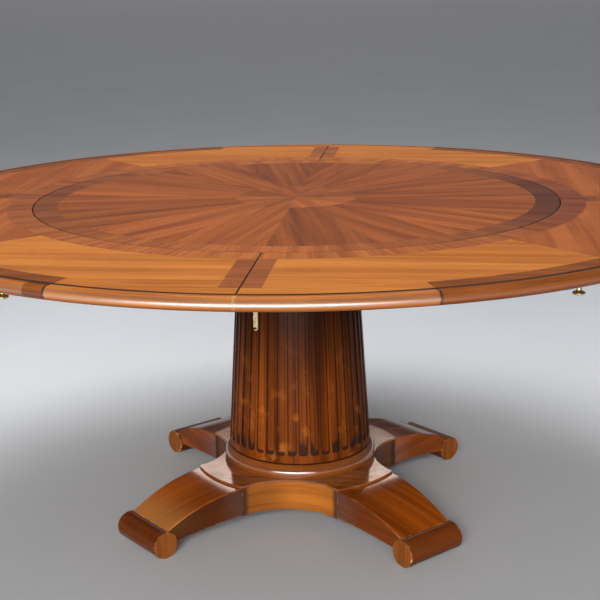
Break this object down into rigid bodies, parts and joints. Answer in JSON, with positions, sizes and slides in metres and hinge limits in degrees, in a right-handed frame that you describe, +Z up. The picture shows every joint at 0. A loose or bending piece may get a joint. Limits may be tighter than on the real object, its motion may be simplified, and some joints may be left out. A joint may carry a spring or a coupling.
{
  "type": "round extending dining table",
  "caption": "Round pedestal dining table whose central disc is ringed by removable leaves carried on pull-out lopers.",
  "frame": {"origin": "on the floor under the column's axis", "axes": "+Z up; the seams between the leaves lie on X and Y, with -Y the front; legs lie on the diagonals and lopers 4.5 degrees off them"},
  "size_m": [1.9, 1.9, 0.75],
  "materials": {
    "core_board": "satin, unlacquered board",
    "sunburst_veneer": "glossy lacquered walnut veneer, radial grain",
    "medallion_veneer": "glossy lacquered walnut veneer",
    "dark_crossband": "glossy lacquered dark crossband",
    "field_veneer": "glossy lacquered light walnut veneer",
    "leaf_crossband": "glossy lacquered crossband",
    "ebony_string": "glossy ebonised string",
    "edge_moulding": "glossy lacquered hardwood",
    "column_wood": "semi-gloss dark stained hardwood",
    "base_wood": "glossy stained hardwood",
    "leg_wood": "glossy stained hardwood",
    "scroll_wood": "glossy stained hardwood with worn edges",
    "loper_wood": "satin beech",
    "dowel_wood": "plain beech",
    "brass": "polished brass, slightly tarnished",
    "steel": "zinc plated steel"
  },
  "bodies": {
    "pedestal": {"disc_core": "core_board", "disc_sunburst_veneers": "sunburst_veneer", "disc_medallion": "medallion_veneer", "disc_crossband": "dark_crossband", "loper_guide_rails": "loper_wood", "loper_stop_pins": "steel", "mounting_block": "core_board", "column_shaft": "column_wood", "column_base_moulding": "base_wood", "base_plate": "base_wood", "base_hub": "base_wood", "foot_scrolls": "scroll_wood", "tie_rod": "steel", "tie_rod_washers": "steel", "tie_rod_nuts": "steel", "leg_back_right": "leg_wood", "leg_back_left": "leg_wood", "leg_front_left": "leg_wood", "leg_front_right": "leg_wood"},
    "leaf_back_right": {"leaf_core_back_right": "core_board", "leaf_dowels_back_right": "dowel_wood", "leaf_field_veneers_back_right": "field_veneer", "leaf_crossbands_back_right": "leaf_crossband", "leaf_string_back_right": "ebony_string", "leaf_edge_moulding_back_right": "edge_moulding", "catch_plates_back_right": "brass"},
    "loper_back_right": {"loper_back_right": "loper_wood", "loper_knob_back_right": "brass"},
    "hook_back_right": {"seam_hook_back_right": "brass"},
    "leaf_back_left": {"leaf_core_back_left": "core_board", "leaf_dowels_back_left": "dowel_wood", "leaf_field_veneers_back_left": "field_veneer", "leaf_crossbands_back_left": "leaf_crossband", "leaf_string_back_left": "ebony_string", "leaf_edge_moulding_back_left": "edge_moulding", "catch_plates_back_left": "brass"},
    "loper_back_left": {"loper_back_left": "loper_wood", "loper_knob_back_left": "brass"},
    "hook_back_left": {"seam_hook_back_left": "brass"},
    "leaf_front_left": {"leaf_core_front_left": "core_board", "leaf_dowels_front_left": "dowel_wood", "leaf_field_veneers_front_left": "field_veneer", "leaf_crossbands_front_left": "leaf_crossband", "leaf_string_front_left": "ebony_string", "leaf_edge_moulding_front_left": "edge_moulding", "catch_plates_front_left": "brass"},
    "loper_front_left": {"loper_front_left": "loper_wood", "loper_knob_front_left": "brass"},
    "hook_front_left": {"seam_hook_front_left": "brass"},
    "leaf_front_right": {"leaf_core_front_right": "core_board", "leaf_dowels_front_right": "dowel_wood", "leaf_field_veneers_front_right": "field_veneer", "leaf_crossbands_front_right": "leaf_crossband", "leaf_string_front_right": "ebony_string", "leaf_edge_moulding_front_right": "edge_moulding", "catch_plates_front_right": "brass"},
    "loper_front_right": {"loper_front_right": "loper_wood", "loper_knob_front_right": "brass"},
    "hook_front_right": {"seam_hook_front_right": "brass"}
  },
  "joints": [
    {"name": "leaf_slide_back_right", "type": "slide", "parent": "pedestal", "child": "leaf_back_right", "axis": [0.7071, 0.7071, 0], "range_m": [0, 0.06]},
    {"name": "loper_slide_back_right", "type": "slide", "parent": "pedestal", "child": "loper_back_right", "axis": [-0.6494, -0.7604, 0], "range_m": [0, 0.225]},
    {"name": "hook_swing_back_right", "type": "hinge", "parent": "leaf_back_right", "child": "hook_back_right", "pos_m": [0.88, 0.026, 0.7165], "axis": [-1, 0, 0], "range_deg": [0, 90]},
    {"name": "leaf_slide_back_left", "type": "slide", "parent": "pedestal", "child": "leaf_back_left", "axis": [-0.7071, 0.7071, 0], "range_m": [0, 0.06]},
    {"name": "loper_slide_back_left", "type": "slide", "parent": "pedestal", "child": "loper_back_left", "axis": [0.7604, -0.6494, 0], "range_m": [0, 0.225]},
    {"name": "hook_swing_back_left", "type": "hinge", "parent": "leaf_back_left", "child": "hook_back_left", "pos_m": [-0.026, 0.88, 0.7165], "axis": [0, -1, 0], "range_deg": [0, 90]},
    {"name": "leaf_slide_front_left", "type": "slide", "parent": "pedestal", "child": "leaf_front_left", "axis": [-0.7071, -0.7071, 0], "range_m": [0, 0.06]},
    {"name": "loper_slide_front_left", "type": "slide", "parent": "pedestal", "child": "loper_front_left", "axis": [0.6494, 0.7604, 0], "range_m": [0, 0.225]},
    {"name": "hook_swing_front_left", "type": "hinge", "parent": "leaf_front_left", "child": "hook_front_left", "pos_m": [-0.88, -0.026, 0.7165], "axis": [1, 0, 0], "range_deg": [0, 90]},
    {"name": "leaf_slide_front_right", "type": "slide", "parent": "pedestal", "child": "leaf_front_right", "axis": [0.7071, -0.7071, 0], "range_m": [0, 0.06]},
    {"name": "loper_slide_front_right", "type": "slide", "parent": "pedestal", "child": "loper_front_right", "axis": [-0.7604, 0.6494, 0], "range_m": [0, 0.225]},
    {"name": "hook_swing_front_right", "type": "hinge", "parent": "leaf_front_right", "child": "hook_front_right", "pos_m": [0.026, -0.88, 0.7165], "axis": [0, 1, 0], "range_deg": [0, 90]}
  ]
}
